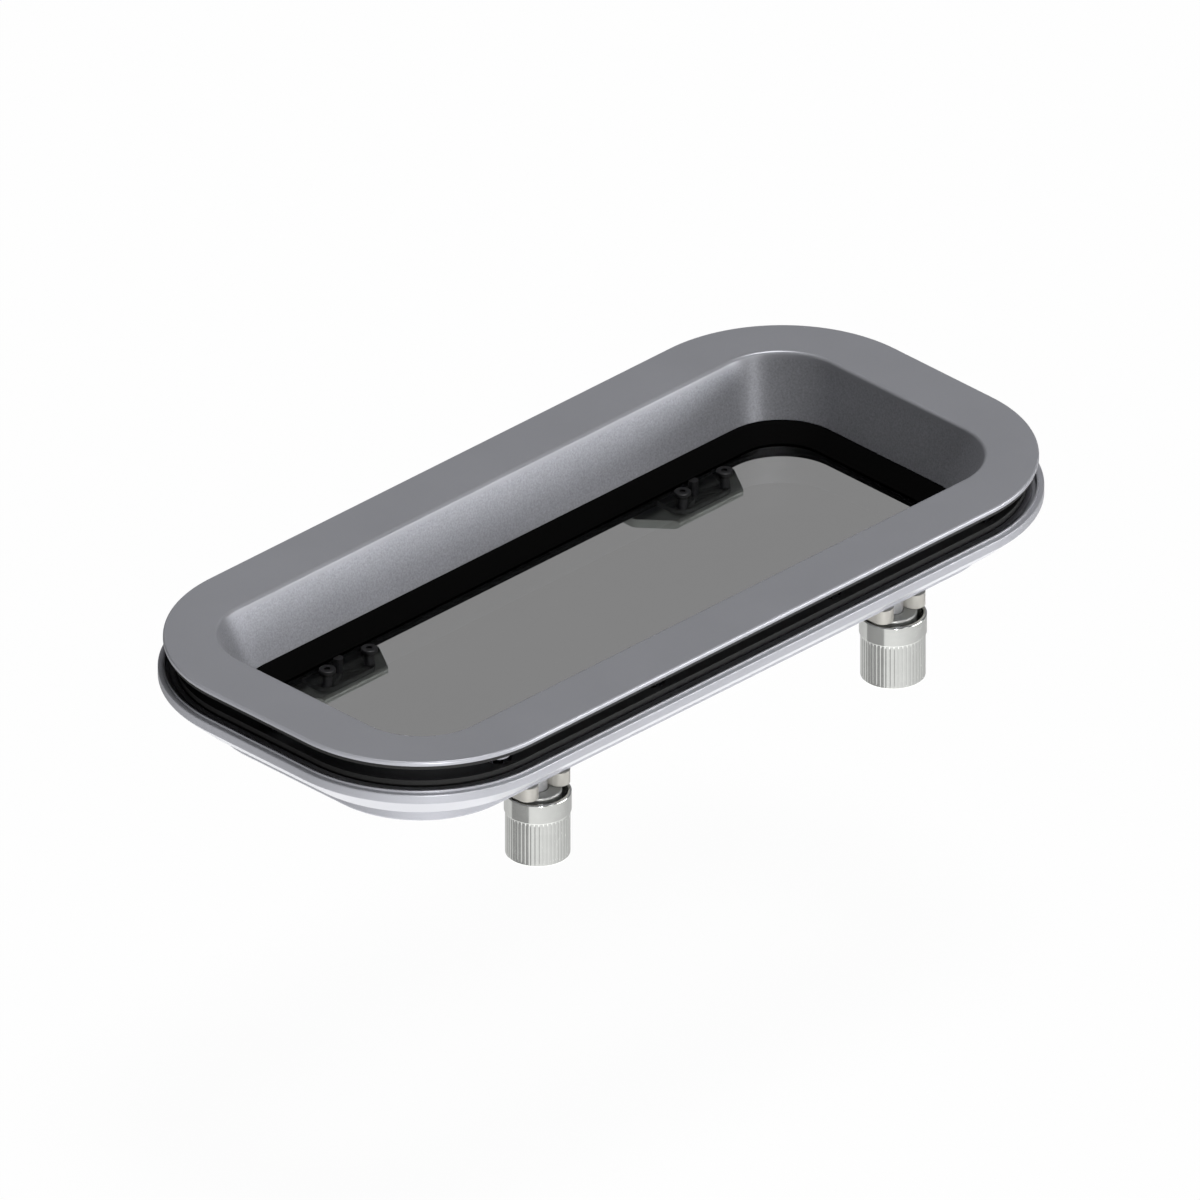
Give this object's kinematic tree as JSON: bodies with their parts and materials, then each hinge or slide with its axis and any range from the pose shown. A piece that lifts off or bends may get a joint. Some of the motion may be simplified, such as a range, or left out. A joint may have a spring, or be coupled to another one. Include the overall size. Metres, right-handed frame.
{
  "type": "porthole",
  "caption": "Rectangular opening porthole with a flanged frame, tapered recess, tinted pane in a hinged sash, two knob clamps and a clamp ring behind the wall",
  "frame": {"origin": "centre of the wall opening on the outer face of the wall, which is the underside of the flange gasket", "axes": "+X along the long side, +Y towards the hinges, +Z out of the wall"},
  "size_m": [0.3766, 0.1794, 0.0717],
  "materials": {
    "frame_paint": "satin grey anodised look",
    "gasket": "matte black rubber",
    "tinted_pane": "smoke tinted, clear",
    "steel": "fine brushed",
    "dark_metal": "satin dark grey",
    "knob_metal": "satin, fluted grip"
  },
  "bodies": {
    "frame": {"outer_frame": "frame_paint", "clamp_ring": "frame_paint", "flange_gasket": "gasket", "ring_gasket": "gasket", "lip_seal": "gasket", "clamp_screws": "steel", "keeper_left": "steel", "keeper_screws_left": "steel", "hinge_bracket_left": "dark_metal", "bracket_screws_left": "steel", "hinge_pin_left": "steel", "keeper_right": "steel", "keeper_screws_right": "steel", "hinge_bracket_right": "dark_metal", "bracket_screws_right": "steel", "hinge_pin_right": "steel"},
    "sash": {"sash_ring": "frame_paint", "pane": "tinted_pane", "glazing": "gasket", "hinge_leaf_left": "dark_metal", "hinge_spacer_left": "gasket", "hinge_bolts_left": "dark_metal", "leaf_screws_left": "steel", "fork_left": "frame_paint", "fork_screws_left": "steel", "hinge_leaf_right": "dark_metal", "hinge_spacer_right": "gasket", "hinge_bolts_right": "dark_metal", "leaf_screws_right": "steel", "fork_right": "frame_paint", "fork_screws_right": "steel"},
    "stud_left": {"knob_stud_left": "steel", "latch_hook_left": "steel", "stud_clip_left": "steel"},
    "sleeve_left": {"thrust_sleeve_left": "steel"},
    "knob_body_left": {"knob_left": "knob_metal"},
    "stud_right": {"knob_stud_right": "steel", "latch_hook_right": "steel", "stud_clip_right": "steel"},
    "sleeve_right": {"thrust_sleeve_right": "steel"},
    "knob_body_right": {"knob_right": "knob_metal"}
  },
  "joints": [
    {"name": "sash_swing", "type": "hinge", "parent": "frame", "child": "sash", "pos_m": [0, 0.076, -0.0315], "axis": [1, 0, 0], "range_deg": [0, 95]},
    {"name": "hook_turn_left", "type": "hinge", "parent": "sash", "child": "stud_left", "pos_m": [-0.0966, -0.0622, -0.03], "axis": [0, 0, 1], "range_deg": [0, 90]},
    {"name": "clamp_run_left", "type": "slide", "parent": "stud_left", "child": "sleeve_left", "axis": [0, 0, -1], "range_m": [0, 0.004]},
    {"name": "knob_turn_left", "type": "hinge", "parent": "sleeve_left", "child": "knob_body_left", "pos_m": [-0.0966, -0.0622, -0.05], "axis": [0, 0, -1], "range_deg": [0, 1440]},
    {"name": "hook_turn_right", "type": "hinge", "parent": "sash", "child": "stud_right", "pos_m": [0.0966, -0.0622, -0.03], "axis": [0, 0, 1], "range_deg": [0, 90]},
    {"name": "clamp_run_right", "type": "slide", "parent": "stud_right", "child": "sleeve_right", "axis": [0, 0, -1], "range_m": [0, 0.004]},
    {"name": "knob_turn_right", "type": "hinge", "parent": "sleeve_right", "child": "knob_body_right", "pos_m": [0.0966, -0.0622, -0.05], "axis": [0, 0, -1], "range_deg": [0, 1440]}
  ],
  "couplings": [
    {"joint": "knob_turn_left", "follows": "clamp_run_left", "rad_per_m": 6283.2},
    {"joint": "knob_turn_right", "follows": "clamp_run_right", "rad_per_m": 6283.2}
  ]
}
